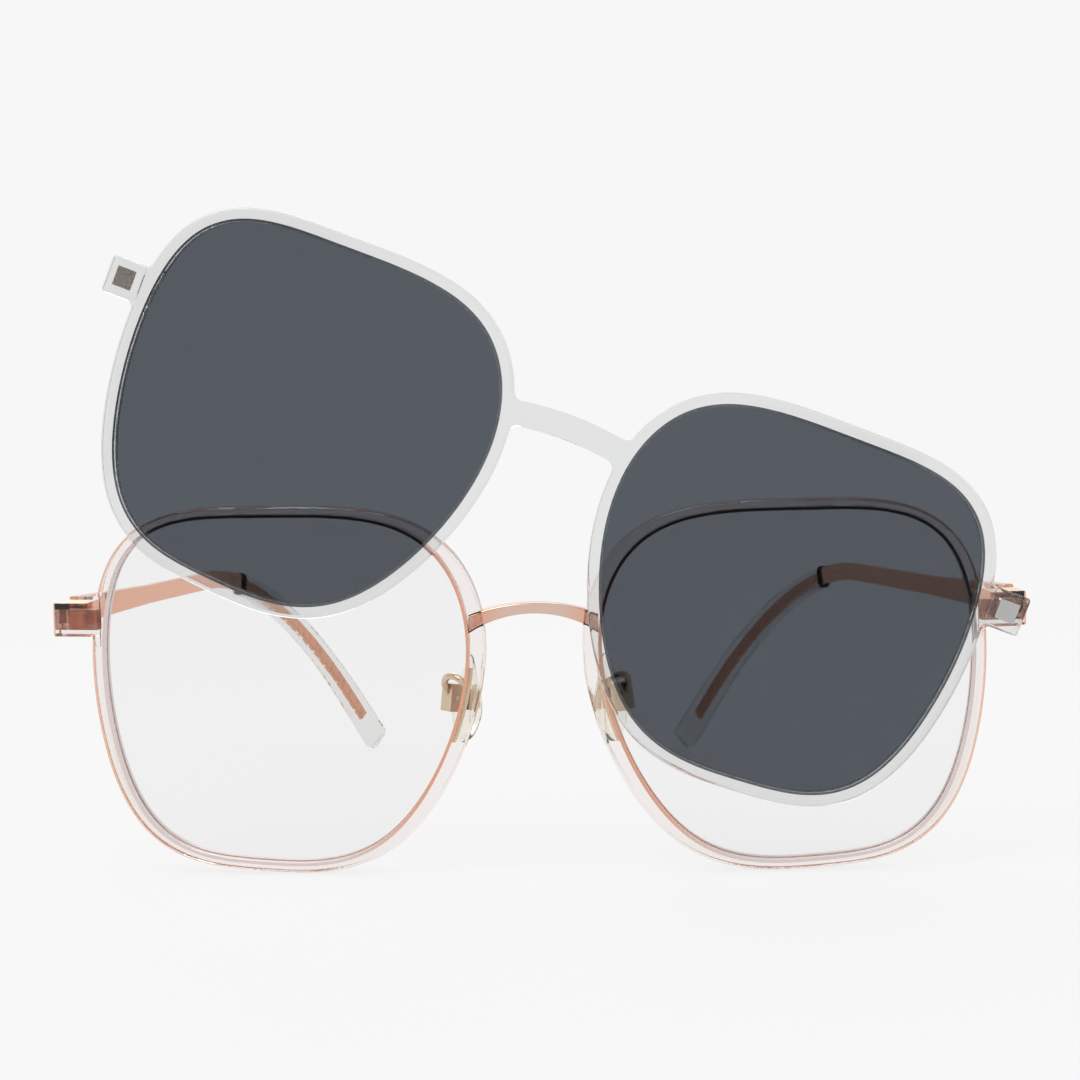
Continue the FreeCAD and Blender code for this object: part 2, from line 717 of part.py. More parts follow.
def clip_on():
    """The clip's frame with two dark lenses and two magnets let in, all on one clip-on."""
    back = "sizes.rim_depth / 2 + sizes.clip_gap"
    plate = curved_plate("clip_plate", clip_blank(), back + " + sizes.clip_depth", back)
    solid = rounded_outside("clip_rounded", plate, size("clip_rounding"), on_clip_face, 0)
    for word, side in SIDES.items():
        solid = cut(word + "_clip_open", solid, prism(word + "_clip_opening", outline_face(side, 0.0)))
    bosses = [clip_boss(word, side) for word, side in SIDES.items()]
    solid = fuse("clip_bossed", [solid] + bosses)
    for word, side in SIDES.items():
        lens = clip_lens(word, side)
        piece("clip_lens_" + word, lens, CLIP_CARRY)
        piece("clip_magnet_" + word, square_magnet("clip_magnet_" + word, side, 0), CLIP_CARRY)
        solid = cut(word + "_clip_grooved", solid, lens)
        pocket = square_magnet(word + "_clip_pocket", side, size("magnet_clearance"))
        solid = cut(word + "_clip_pocketed", solid, pocket)
    half = size("clip_recess_width") / 2
    floor = on_front(0, size("clip_bridge_top"), CLIP_FRONT - size("clip_recess_depth")).y
    recess = cuboid("clip_recess", Placement(), Vector(size("clip_recess_out") - half, -THROUGH, 0),
                    Vector(size("clip_recess_out") + half, floor, size("clip_bridge_top") + 1))
    piece("clip_frame", cut("clip_frame", solid, recess), CLIP_CARRY)


# Temples, each in the frame of its hinge: X outwards on the right, Y back along the arm, Z up

def lowest_rim_point():
    """Height of the lowest rim edge below the middle of the front, once the front leans."""
    edge = outline_points(1, rim_width)
    return min(TILT.multVec(on_front(point.x, point.z, RIM_FRONT)).z for point in edge)


def ear_drop():
    """Angle by which the ears go down so that the tips stand where the rims stand."""
    fall = size("hinge_level") - lowest_rim_point()
    soft = size("tip_rounding")
    drop = math.asin(fall / size("ear_length"))
    for _ in range(20):
        corner = (size("tip_height") / 2 - soft) * math.cos(drop) + soft * (1 - math.sin(drop))
        drop = math.asin((fall - corner) / size("ear_length"))
    return drop


def ear_direction():
    drop = ear_drop()
    inward = math.radians(size("ear_inward"))
    return Vector(-math.sin(inward) * math.cos(drop), math.cos(inward) * math.cos(drop), -math.sin(drop))


EAR = ear_direction()
EAR_ANGLE = BACKWARD.getAngle(EAR)
EAR_TANGENT = size("ear_radius") * math.tan(EAR_ANGLE / 2)
BEND_START = size("temple_reach") - EAR_TANGENT
BEND_LENGTH = size("ear_radius") * EAR_ANGLE
TEMPLE_END = BEND_START + BEND_LENGTH + size("ear_length") - EAR_TANGENT
ARM_MIDDLE = size("leaf_offset") + size("arm_thickness") / 2


def temple_station(along):
    """Place and direction of the temple's middle line at a distance from the hinge, right-hand side."""
    start = Vector(ARM_MIDDLE, 0, 0)
    inward = (EAR - BACKWARD * BACKWARD.dot(EAR)).normalize()
    if along <= BEND_START:
        return start + BACKWARD * along, BACKWARD
    angle = min(along - BEND_START, BEND_LENGTH) / size("ear_radius")
    bend = BACKWARD * (BEND_START + size("ear_radius") * math.sin(angle))
    bend = bend + inward * (size("ear_radius") * (1 - math.cos(angle)))
    direction = BACKWARD * math.cos(angle) + inward * math.sin(angle)
    return start + bend + direction * max(0, along - BEND_START - BEND_LENGTH), direction


def section(side, along, height, thickness, rounding):
    """A rounded rectangle across the temple: its flat sides stay upright."""
    place, direction = temple_station(along)
    out = direction.cross(UP).normalize()
    up = out.cross(direction)

    def at(share_out, share_up):
        point = place + out * share_out + up * share_up
        return Vector(side * point.x, point.y, point.z)

    half_out, half_up = thickness / 2, height / 2
    soft = rounding * (1 - math.sqrt(0.5))
    edges = []
    for i, (a, b) in enumerate(((1, 1), (-1, 1), (-1, -1), (1, -1))):
        c, d = ((1, 1), (-1, 1), (-1, -1), (1, -1))[(i + 1) % 4]
        before = at(a * half_out, b * (half_up - rounding))
        after = at(a * (half_out - rounding), b * half_up)
        if i % 2:
            before, after = after, before
        middle = at(a * (half_out - soft), b * (half_up - soft))
        next_out = c * (half_out - rounding if i % 2 == 0 else half_out)
        next_up = d * (half_up if i % 2 == 0 else half_up - rounding)
        edges.append(Part.Arc(before, middle, after).toShape())
        edges.append(Part.LineSegment(after, at(next_out, next_up)).toShape())
    return Part.Wire(edges)


def loft(name, wires, ruled):
    obj = doc.addObject("Part::Loft", name)
    obj.Sections = [feature(f"{name}_section{i}", wire) for i, wire in enumerate(wires)]
    obj.Solid = True
    obj.Ruled = ruled
    return obj


def spread(first, last, count):
    return [first + (last - first) * i / (count - 1) for i in range(count)]


def temple_arm(word, side):
    """The flat metal arm with the middle hinge barrel and the core wire inside the sleeve."""
    thick, soft = size("arm_thickness"), size("arm_rounding")
    tall, low = size("arm_front_height"), size("arm_height")
    taper = size("arm_taper_length")
    parts = [
        loft(word + "_arm_taper", [section(side, 0, tall, thick, soft), section(side, taper, low, thick, soft)], True),
        loft(word + "_arm_straight", [section(side, taper, low, thick, soft),
                                      section(side, BEND_START, low, thick, soft)], True),
        loft(word + "_arm_bend", [section(side, s, low, thick, soft)
                                  for s in spread(BEND_START, size("sleeve_start"), 5)], False),
        core_wire(word + "_core_wire", side),
    ]
    half = size("barrel_height") / 2
    near, far = sorted((0, side * (size("leaf_offset") + size("arm_thickness") / 2)))
    barrel = rod(word + "_middle_barrel", Placement(), Vector(0, 0, -half), UP,
                 "sizes.barrel_radius", "sizes.barrel_height")
    web = cuboid(word + "_middle_web", Placement(), Vector(near, 0, -half),
                 Vector(far, size("barrel_radius"), half))
    solid = fuse(word + "_arm_solid", parts + [barrel, web])
    bore = rod(word + "_arm_bore", Placement(), Vector(0, 0, -2 * half), UP,
               "sizes.hinge_screw_radius + sizes.screw_clearance", "2 * sizes.barrel_height")
    return cut(word + "_temple_arm", solid, bore)


def core_wire(name, side):
    stations = spread(size("sleeve_start") - 0.5, TEMPLE_END - size("core_wire_end"), 9)
    return loft(name, [section(side, s, size("core_wire_height"), size("core_wire_thickness"),
                               size("core_wire_height") / 6) for s in stations], False)


def temple_sleeve(word, side):
    """The clear end sleeve, wider towards its rounded tip, with the core wire's cavity."""
    start = size("sleeve_start")
    wires = []
    for s in spread(start, TEMPLE_END, 10):
        share = (s - start) / (TEMPLE_END - start)
        height = size("sleeve_height") + share * (size("tip_height") - size("sleeve_height"))
        thickness = size("sleeve_thickness") + share * (size("tip_thickness") - size("sleeve_thickness"))
        wires.append(section(side, s, height, thickness, thickness * 0.4))
    bar = loft(word + "_sleeve_bar", wires, False)
    doc.recompute()
    end, direction = temple_station(TEMPLE_END)
    end = Vector(side * end.x, end.y, end.z)
    tip_edges = [e for e in bar.Shape.Edges if (e.CenterOfMass - end).Length < size("tip_height") / 2 + 0.1
                 and max((v.Point - end).Length for v in e.Vertexes) < size("tip_height")]
    rounded = feature(word + "_sleeve_rounded", bar.Shape.makeFillet(size("tip_rounding"), tip_edges))
    return cut(word + "_temple_sleeve", rounded, core_wire(word + "_core_cavity", side))


def temples():
    for word, side in SIDES.items():
        fold = Rotation(UP, side * size(word + "_fold_rest"))
        carry = Placement(Vector(side * size("hinge_out"), size("hinge_back"), size("hinge_level")), fold)
        piece(word + "_temple_arm", temple_arm(word, side), carry)
        piece(word + "_temple_sleeve", temple_sleeve(word, side), carry)


# Everything on the table

def carry_all(shift):
    """Moves the pieces by a shift; mirror images follow their plane."""
    for name, obj, carry in PIECES:
        if carry is None:
            obj.Base = Vector(shift.x, 0, 0)
        else:
            obj.Placement = shift_placement(shift) * obj.Placement
            obj.purgeTouched()
    doc.recompute()


def shift_placement(shift):
    return Placement(shift, Rotation())


def put_on_table():
    """Carries every piece out of its own frame, then puts the origin in the middle of the foot."""
    doc.recompute()
    for name, obj, carry in PIECES:
        if carry is not None:
            obj.Placement = carry * obj.Placement
            obj.purgeTouched()
    doc.recompute()
    box = FreeCAD.BoundBox()
    for name, obj, carry in PIECES:
        box.add(obj.Shape.optimalBoundingBox(False))
    shift = Vector(-box.Center.x, -box.Center.y, -box.ZMin)
    carry_all(shift)
    return shift


def check_and_export():
    broken = [obj.Name for obj in doc.Objects if "Invalid" in obj.State or "Error" in obj.State]
    if broken:
        raise RuntimeError("objects that did not compute: " + ", ".join(broken))
    unfit = []
    for name, obj, carry in PIECES:
        shape = obj.Shape
        if shape.isNull() or not shape.isValid() or len(shape.Solids) != 1:
            unfit.append(name)
    if unfit:
        raise RuntimeError("not one valid solid: " + ", ".join(unfit))
    os.makedirs("parts", exist_ok=True)
    for name, obj, carry in PIECES:
        obj.Shape.exportStep(f"parts/{name}.step")


def report_points(shift):
    """Prints the named points and directions that a joint or a mount refers to."""
    table = shift_placement(shift)
    points = {
        "right hinge": (HINGE.Base, UP),
        "left hinge": (Vector(-HINGE.Base.x, HINGE.Base.y, HINGE.Base.z), UP),
        "clip pivot": ((TILT * PIVOT).multVec(Vector(0, -size("lug_front"), 0)), TILT.Rotation.multVec(
            PIVOT.Rotation.multVec(-BACKWARD))),
        "right pad pin": ((TILT * PAD).multVec(Vector(0, PIN_DEPTH, 0)), TILT.Rotation.multVec(
            PAD.Rotation.multVec(Vector(1, 0, 0)))),
        "left lug face": ((TILT * pivot_frame(-1)).multVec(Vector(0, -size("lug_front"), 0)),
                          TILT.Rotation.multVec(pivot_frame(-1).Rotation.multVec(-BACKWARD))),
        "left clip magnet": ((CLIP_CARRY * pivot_frame(-1)).multVec(
            Vector(0, -size("lug_front") - size("magnet_gap"), 0)),
            (CLIP_CARRY * pivot_frame(-1)).Rotation.multVec(BACKWARD)),
    }
    for name, (place, direction) in points.items():
        place = table.multVec(place)
        print(name, [round(v, 4) for v in place], [round(v, 6) for v in direction])


WALL_BLANK = prism("wall_blank", outline_face(1, size("eyewire_wall")))
OPENING = prism("opening", outline_face(1, 0.0))
base_front(OPENING, WALL_BLANK)
nose_pads(OPENING)
clip_on()
temples()
SHIFT = put_on_table()
check_and_export()
report_points(SHIFT)
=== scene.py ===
"""Looks of the eyeglasses with a magnetic clip-on: finishes, soft pads, camera and stage."""

import math

import bpy
from mathutils import Euler, Matrix, Vector


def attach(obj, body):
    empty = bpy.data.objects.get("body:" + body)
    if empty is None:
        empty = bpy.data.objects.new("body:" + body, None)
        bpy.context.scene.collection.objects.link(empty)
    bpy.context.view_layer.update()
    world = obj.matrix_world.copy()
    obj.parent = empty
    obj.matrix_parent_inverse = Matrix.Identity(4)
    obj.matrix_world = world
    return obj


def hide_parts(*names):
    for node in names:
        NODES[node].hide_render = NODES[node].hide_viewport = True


bl_info = {
    "name": "Clip-on Eyeglasses",
    "version": (1, 0, 0),
    "blender": (4, 5, 0),
    "location": "3D View > Sidebar > Eyeglasses",
    "description": "Finishes and soft parts of eyeglasses with a magnetic clip-on",
    "category": "Object",
}

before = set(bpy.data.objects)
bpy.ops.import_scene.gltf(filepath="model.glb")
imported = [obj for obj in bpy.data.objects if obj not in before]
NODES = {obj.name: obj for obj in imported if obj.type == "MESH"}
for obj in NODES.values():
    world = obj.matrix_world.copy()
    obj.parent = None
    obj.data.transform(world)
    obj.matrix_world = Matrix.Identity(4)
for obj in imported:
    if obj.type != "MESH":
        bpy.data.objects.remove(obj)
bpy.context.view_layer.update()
SIDES = ("left", "right")
MM = 0.001

# Camera at the photograph's viewing angle; its turn is in degrees
CAMERA_PLACE = (0.018143, -0.396171, 0.064841)
CAMERA_TURN = (87.0356, 0.9731, 2.9075)
CAMERA_FOCAL_PX = 2356.6
CAMERA_NEAREST = 0.01
SENSOR_WIDTH = 36.0
PHOTO_PX = 1080

# Places on the front: a lens's middle, a lug's start, an endpiece's painted highlight line, and
# how far out from its middle the bridge's painted highlight reaches its plain shade
LENS_OUT = 0.036
LENS_UP = 0.0291
LUG_OUT = 0.0640
LUG_EDGE = 1.2 * MM
HIGHLIGHT_LINE_OUT = 67.3 * MM
HIGHLIGHT_LINE_HALF = 0.09 * MM
BRIDGE_HIGHLIGHT_REACH = 9 * MM

# Nose pads: half sizes, the tapered top, the middle, and the angles in degrees
PAD_HALF = (3.6 * MM, 1.0 * MM, 6.4 * MM)
PAD_TIP = 5.9 * MM
PAD_TAPER = 0.35
PAD_TAPER_REACH = 9.0 * MM
PAD_MIDDLE = (0.0104, -0.05682, 0.02457)
PAD_OUT = 0.2 * MM
PAD_TURN = 43.0
PAD_LEAN = 8.0
FRONT_TILT = 3.0

# Shades of the plating, plastics and film that aren't settings
# Painted highlight at the middle of the bridge
BRIDGE_HIGHLIGHT = (0.70, 0.51, 0.43, 1.0)
# Painted reflection on the eyewires' faces towards the lens
EYEWIRE_REFLECTION = (0.74, 0.64, 0.62, 1.0)
ENDPIECE_STREAK = (0.62, 0.22, 0.10, 1.0)
# Painted highlight: the thin pale stripe on the endpieces' corner
ENDPIECE_HIGHLIGHT = (0.85, 0.62, 0.48, 1.0)
RIM_FILM = (0.84, 0.50, 0.34, 1.0)
LUG_FILM = (0.92, 0.72, 0.52, 1.0)
SATIN_NICKEL = (0.62, 0.57, 0.53, 1.0)
LIGHT_NICKEL = (0.82, 0.81, 0.79, 1.0)
DISPLAY_LENS = (0.925, 0.925, 0.925, 1.0)

# Fine handling marks: height of the bump, and streaks per metre across, deep and up
MARK_HEIGHT = 0.02 * MM
STREAK_SCALE = (900.0, 40.0, 60.0)

# Stage: lamps as name, power setting, side and place; the floor's shadow; the world's dark band
LAMPS = (
    ("key_lamp", "key_power", 0.45, (-0.35, -0.45, 0.75)),
    ("fill_lamp", "fill_power", 0.35, (0.65, -0.30, 0.40)),
    ("back_lamp", "fill_power", 0.40, (-0.15, 0.60, 0.55)),
)
LAMP_AIM = (0, 0, 0.04)
FLOOR_GREY = 0.85
SHADOW_FULL = 0.08
SHADOW_END = 0.45
SHADOW_GLOW = 0.86
BAND_SHADE = (0.19, 0.16, 0.15, 1.0)


# Settings that a user would change

class FinishSettings(bpy.types.PropertyGroup):
    """Colours of the finishes."""
    rose_gold: bpy.props.FloatVectorProperty(
        name="Rose gold", description="Plating of the bridge, eyewires and temples",
        subtype="COLOR", size=4, default=(0.76, 0.39, 0.26, 1.0), min=0.0, max=1.0)
    copper_brown: bpy.props.FloatVectorProperty(
        name="Copper brown", description="Plating of the endpieces",
        subtype="COLOR", size=4, default=(0.42, 0.11, 0.055, 1.0), min=0.0, max=1.0)
    pale_gold: bpy.props.FloatVectorProperty(
        name="Pale gold", description="Plating of the pad arms, their boxes and the studs",
        subtype="COLOR", size=4, default=(0.72, 0.56, 0.41, 1.0), min=0.0, max=1.0)
    clear_rim: bpy.props.FloatVectorProperty(
        name="Clear rim", description="Tint of the clear plastic rims",
        subtype="COLOR", size=4, default=(0.93, 0.885, 0.87, 1.0), min=0.0, max=1.0)
    clear_clip: bpy.props.FloatVectorProperty(
        name="Clear clip", description="Tint of the clip's plastic",
        subtype="COLOR", size=4, default=(0.81, 0.815, 0.815, 1.0), min=0.0, max=1.0)
    sleeve: bpy.props.FloatVectorProperty(
        name="Clear sleeve", description="Tint of the temple sleeves",
        subtype="COLOR", size=4, default=(0.83, 0.825, 0.82, 1.0), min=0.0, max=1.0)
    dark_lens: bpy.props.FloatVectorProperty(
        name="Dark lens", description="Tint of the sun lenses",
        subtype="COLOR", size=4, default=(0.100, 0.112, 0.129, 1.0), min=0.0, max=1.0)
    pad: bpy.props.FloatVectorProperty(
        name="Nose pad", description="Tint of the silicone pads",
        subtype="COLOR", size=4, default=(0.96, 0.94, 0.86, 1.0), min=0.0, max=1.0)


class StageSettings(bpy.types.PropertyGroup):
    """The floor, the light and the background."""
    background: bpy.props.FloatProperty(
        name="Background", description="Brightness of floor and background as seen",
        default=0.93, min=0.0, max=1.0)
    floor_size: bpy.props.FloatProperty(
        name="Floor size", description="Side of the square floor", default=6.0, unit="LENGTH")
    key_power: bpy.props.FloatProperty(
        name="Key lamp", description="Power of the large lamp above and left",
        default=2.0, unit="POWER")
    fill_power: bpy.props.FloatProperty(
        name="Fill lamps", description="Power of the lamp on the right and of the one behind",
        default=0.9, unit="POWER")


# Small helpers for nodes

def new_material(name):
    material = bpy.data.materials.new(name)
    material.use_nodes = True
    material.node_tree.nodes.clear()
    return material


def new_group(name, given, results):
    """An empty node group with named number sockets."""
    group = bpy.data.node_groups.new(name, "ShaderNodeTree")
    for way, sockets in (("INPUT", given), ("OUTPUT", results)):
        for socket in sockets:
            group.interface.new_socket(socket, in_out=way, socket_type="NodeSocketFloat")
    return group


def add_node(tree, kind, x, y, **values):
    node = tree.nodes.new(kind)
    node.location = (x, y)
    for key, value in values.items():
        setattr(node, key, value)
    return node


def find_node(material, kind):
    return next(node for node in material.node_tree.nodes if node.bl_idname == kind)


def give(tree, socket, value):
    """Sets a socket to a plain value, or links it to the output of another node."""
    if isinstance(value, bpy.types.NodeSocket):
        tree.links.new(value, socket)
    else:
        socket.default_value = value


def maths(tree, x, y, operation, *values):
    node = add_node(tree, "ShaderNodeMath", x, y, operation=operation)
    for socket, value in zip(node.inputs, values):
        give(tree, socket, value)
    return node.outputs[0]


def vector_maths(tree, x, y, operation, *values):
    """Outputs of a vector operation: the caller picks Vector or Value."""
    node = add_node(tree, "ShaderNodeVectorMath", x, y, operation=operation)
    for socket, value in zip(node.inputs, values):
        give(tree, socket, value)
    return node.outputs


def split(tree, x, y, vector):
    """The X, Y and Z outputs of a vector."""
    node = add_node(tree, "ShaderNodeSeparateXYZ", x, y)
    give(tree, node.inputs[0], vector)
    return node.outputs


def rise(tree, x, y, value, start, end, low=0.0, curve="SMOOTHSTEP"):
    """A share that goes from low at start to 1 at end."""
    node = add_node(tree, "ShaderNodeMapRange", x, y, interpolation_type=curve)
    node.inputs["From Min"].default_value = start
    node.inputs["From Max"].default_value = end
    node.inputs["To Min"].default_value = low
    give(tree, node.inputs["Value"], value)
    return node.outputs[0]


def blend_colors(tree, x, y, share, first, second):
    node = add_node(tree, "ShaderNodeMix", x, y, data_type="RGBA")
    for name, value in (("Factor", share), ("A", first), ("B", second)):
        give(tree, node.inputs[name], value)
    return node.outputs["Result"]


def blend_shaders(tree, x, y, share, first, second):
    node = add_node(tree, "ShaderNodeMixShader", x, y)
    for socket, value in zip(node.inputs, (share, first, second)):
        give(tree, socket, value)
    return node.outputs[0]


def grey(brightness):
    return (brightness, brightness, brightness, 1.0)


# Patterns that more than one material uses

def marks_group():
    """Fine handling marks: a value around the plain roughness and a height for a bump."""
    group = new_group("handling_marks", ("Roughness", "Spread", "Scale"), ("Roughness", "Height"))
    given = add_node(group, "NodeGroupInput", -700, 0).outputs
    result = add_node(group, "NodeGroupOutput", 500, 0).inputs
    place = add_node(group, "ShaderNodeTexCoord", -700, -250).outputs["Object"]
    cloud = add_node(group, "ShaderNodeTexNoise", -400, -150)
    cloud.inputs["Detail"].default_value = 5.0
    cloud.inputs["Roughness"].default_value = 0.65
    give(group, cloud.inputs["Vector"], place)
    give(group, cloud.inputs["Scale"], given["Scale"])
    offset = maths(group, -150, -100, "SUBTRACT", cloud.outputs["Fac"], 0.5)
    scaled = maths(group, 50, -50, "MULTIPLY", offset, given["Spread"])
    summed = maths(group, 250, 50, "ADD", scaled, given["Roughness"])
    summed.node.use_clamp = True
    give(group, result["Roughness"], summed)
    give(group, result["Height"], cloud.outputs["Fac"])
    return group


def wall_group():
    """How far a face turns away from its lens's middle, its place from nose (-1) to temple (1),
    and the level faces of the lug."""
    group = new_group("rim_wall", (), ("Outward", "Temple side", "Lug"))
    result = add_node(group, "NodeGroupOutput", 900, 0).inputs
    place = split(group, -700, 0, add_node(group, "ShaderNodeTexCoord", -900, 0).outputs["Object"])
    normal = add_node(group, "ShaderNodeNewGeometry", -900, -300).outputs["True Normal"]
    side = maths(group, -500, 150, "SIGN", place["X"])
    middle = maths(group, -300, 150, "MULTIPLY", side, LENS_OUT)
    arm = add_node(group, "ShaderNodeCombineXYZ", 100, 0)
    give(group, arm.inputs["X"], maths(group, -100, 100, "SUBTRACT", place["X"], middle))
    give(group, arm.inputs["Z"], maths(group, -100, -80, "SUBTRACT", place["Z"], LENS_UP))
    away = vector_maths(group, 250, 0, "NORMALIZE", arm.outputs[0])["Vector"]
    outward = vector_maths(group, 450, -150, "DOT_PRODUCT", away, normal)["Value"]
    temple = maths(group, 650, 100, "MULTIPLY", split(group, 450, 100, away)["X"], side)
    reach = maths(group, -500, 350, "ABSOLUTE", place["X"])
    past = rise(group, -300, 350, reach, LUG_OUT, LUG_OUT + LUG_EDGE)
    turned = maths(group, -500, -300, "ABSOLUTE", split(group, -700, -300, normal)["Z"])
    level = rise(group, -300, -300, turned, 0.5, 0.8)
    give(group, result["Outward"], outward)
    give(group, result["Temple side"], temple)
    give(group, result["Lug"], maths(group, 450, 350, "MULTIPLY", past, level))
    return group


def put_marks(material, shader, group, roughness, spread, scale, bump):
    """Drives a shader's roughness and normal from the handling marks."""
    tree = material.node_tree
    marks = add_node(tree, "ShaderNodeGroup", -500, -200, node_tree=group)
    marks.inputs["Roughness"].default_value = roughness
    marks.inputs["Spread"].default_value = spread
    marks.inputs["Scale"].default_value = scale
    height = add_node(tree, "ShaderNodeBump", -250, -350)
    height.inputs["Strength"].default_value = bump
    height.inputs["Distance"].default_value = MARK_HEIGHT
    give(tree, height.inputs["Height"], marks.outputs["Height"])
    give(tree, shader.inputs["Roughness"], marks.outputs["Roughness"])
    give(tree, shader.inputs["Normal"], height.outputs["Normal"])


# Finishes

def surface(material, shader):
    out = add_node(material.node_tree, "ShaderNodeOutputMaterial", 900, 0)
    give(material.node_tree, out.inputs["Surface"], shader)


def plated_metal(name, color, marks, roughness=0.16, metallic=1.0):
    material = new_material(name)
    shader = add_node(material.node_tree, "ShaderNodeBsdfPrincipled", 0, 0)
    shader.inputs["Base Color"].default_value = color
    shader.inputs["Metallic"].default_value = metallic
    put_marks(material, shader, marks, roughness, spread=0.14, scale=900.0, bump=0.15)
    surface(material, shader.outputs[0])
    return material


def clear_plastic(name, color, marks, roughness=0.035, ior=1.49):
    """Refracting plastic that lets shadow and diffuse rays straight through."""
    material = new_material(name)
    tree = material.node_tree
    shader = add_node(tree, "ShaderNodeBsdfPrincipled", 0, 0)
    shader.inputs["Base Color"].default_value = color
    shader.inputs["Transmission Weight"].default_value = 1.0
    shader.inputs["IOR"].default_value = ior
    put_marks(material, shader, marks, roughness, spread=0.05, scale=350.0, bump=0.04)
    through = add_node(tree, "ShaderNodeBsdfTransparent", 0, -500)
    through.inputs["Color"].default_value = color
    path = add_node(tree, "ShaderNodeLightPath", 0, 300).outputs
    straight = maths(tree, 300, 300, "MAXIMUM", path["Is Shadow Ray"], path["Is Diffuse Ray"])
    surface(material, blend_shaders(tree, 600, 0, straight, shader.outputs[0], through.outputs[0]))
    return material


def coat_outer_wall(material, walls):
    """Rose film on the rim's outer wall towards the temple, and a cream one on the lug's level
    faces, both seen through the clear front."""
    tree = material.node_tree
    out = find_node(material, "ShaderNodeOutputMaterial").inputs["Surface"]
    plain = out.links[0].from_socket
    wall = add_node(tree, "ShaderNodeGroup", -500, -800, node_tree=walls).outputs
    facing = rise(tree, -250, -700, wall["Outward"], 0.10, 0.42)
    lateral = rise(tree, -250, -950, wall["Temple side"], 0.15, 0.95)
    outer = maths(tree, 0, -800, "MULTIPLY", facing, lateral)
    film = add_node(tree, "ShaderNodeBsdfPrincipled", 300, -700)
    film.inputs["Metallic"].default_value = 0.85
    film.inputs["Roughness"].default_value = 0.3
    tint = blend_colors(tree, 50, -1050, wall["Lug"], RIM_FILM, LUG_FILM)
    give(tree, film.inputs["Base Color"], tint)
    coated = maths(tree, 200, -800, "MAXIMUM", outer, wall["Lug"])
    give(tree, out, blend_shaders(tree, 600, -500, coated, plain, film.outputs[0]))
    return material


def painted_inner_reflection(material, walls):
    """Painted reflection: plating that is paler on the faces towards the lens, but for the side of
    the nose.
    """
    tree = material.node_tree
    color = find_node(material, "ShaderNodeBsdfPrincipled").inputs["Base Color"]
    wall = add_node(tree, "ShaderNodeGroup", -800, 300, node_tree=walls).outputs
    facing = rise(tree, -600, 300, wall["Outward"], 0.2, 0.6)
    nasal = rise(tree, -600, 600, wall["Temple side"], -0.2, -0.8)
    plain = maths(tree, -450, 450, "MAXIMUM", facing, nasal)
    give(tree, color, blend_colors(tree, -350, 300, plain, EYEWIRE_REFLECTION, color.default_value))
    return material


def streaks_and_highlight(material):
    """Upright brushed grain in a brighter shade, and one thin pale stripe near the outer end: a
    painted highlight on the corner where the front turns back.
    """
    tree = material.node_tree
    color = find_node(material, "ShaderNodeBsdfPrincipled").inputs["Base Color"]
    place = add_node(tree, "ShaderNodeTexCoord", -1200, 400).outputs["Object"]
    noise = add_node(tree, "ShaderNodeTexNoise", -800, 400)
    noise.inputs["Scale"].default_value = 1.0
    noise.inputs["Detail"].default_value = 3.0
    stretched = vector_maths(tree, -1000, 400, "MULTIPLY", place, STREAK_SCALE)["Vector"]
    give(tree, noise.inputs["Vector"], stretched)
    share = rise(tree, -600, 400, noise.outputs["Fac"], 0.38, 0.62, curve="LINEAR")
    brushed = blend_colors(tree, -400, 400, share, color.default_value, ENDPIECE_STREAK)
    # Painted highlight: a thin pale stripe where the endpiece's front turns back
    reach = maths(tree, -800, 700, "ABSOLUTE", split(tree, -1000, 700, place)["X"])
    highlight_line = maths(tree, -600, 700, "COMPARE", reach, HIGHLIGHT_LINE_OUT, HIGHLIGHT_LINE_HALF)
    give(tree, color, blend_colors(tree, -200, 500, highlight_line, brushed, ENDPIECE_HIGHLIGHT))
    return material


def painted_bridge_highlight(material):
    """Painted highlight: plating that is paler at the middle of the bridge than at its ends."""
    tree = material.node_tree
    color = find_node(material, "ShaderNodeBsdfPrincipled").inputs["Base Color"]
    place = add_node(tree, "ShaderNodeTexCoord", -1000, 400).outputs["Object"]
    reach = maths(tree, -600, 400, "ABSOLUTE", split(tree, -800, 400, place)["X"])
    share = rise(tree, -400, 400, reach, BRIDGE_HIGHLIGHT_REACH / 3, BRIDGE_HIGHLIGHT_REACH)
    give(tree, color, blend_colors(tree, -200, 400, share, BRIDGE_HIGHLIGHT, color.default_value))
    return material


def finish_nodes(material, names):
    for name in names:
        for slot in NODES[name].material_slots:
            slot.material = material


def both(kind):
    return [f"{side}_{kind}" for side in SIDES]


# Operators

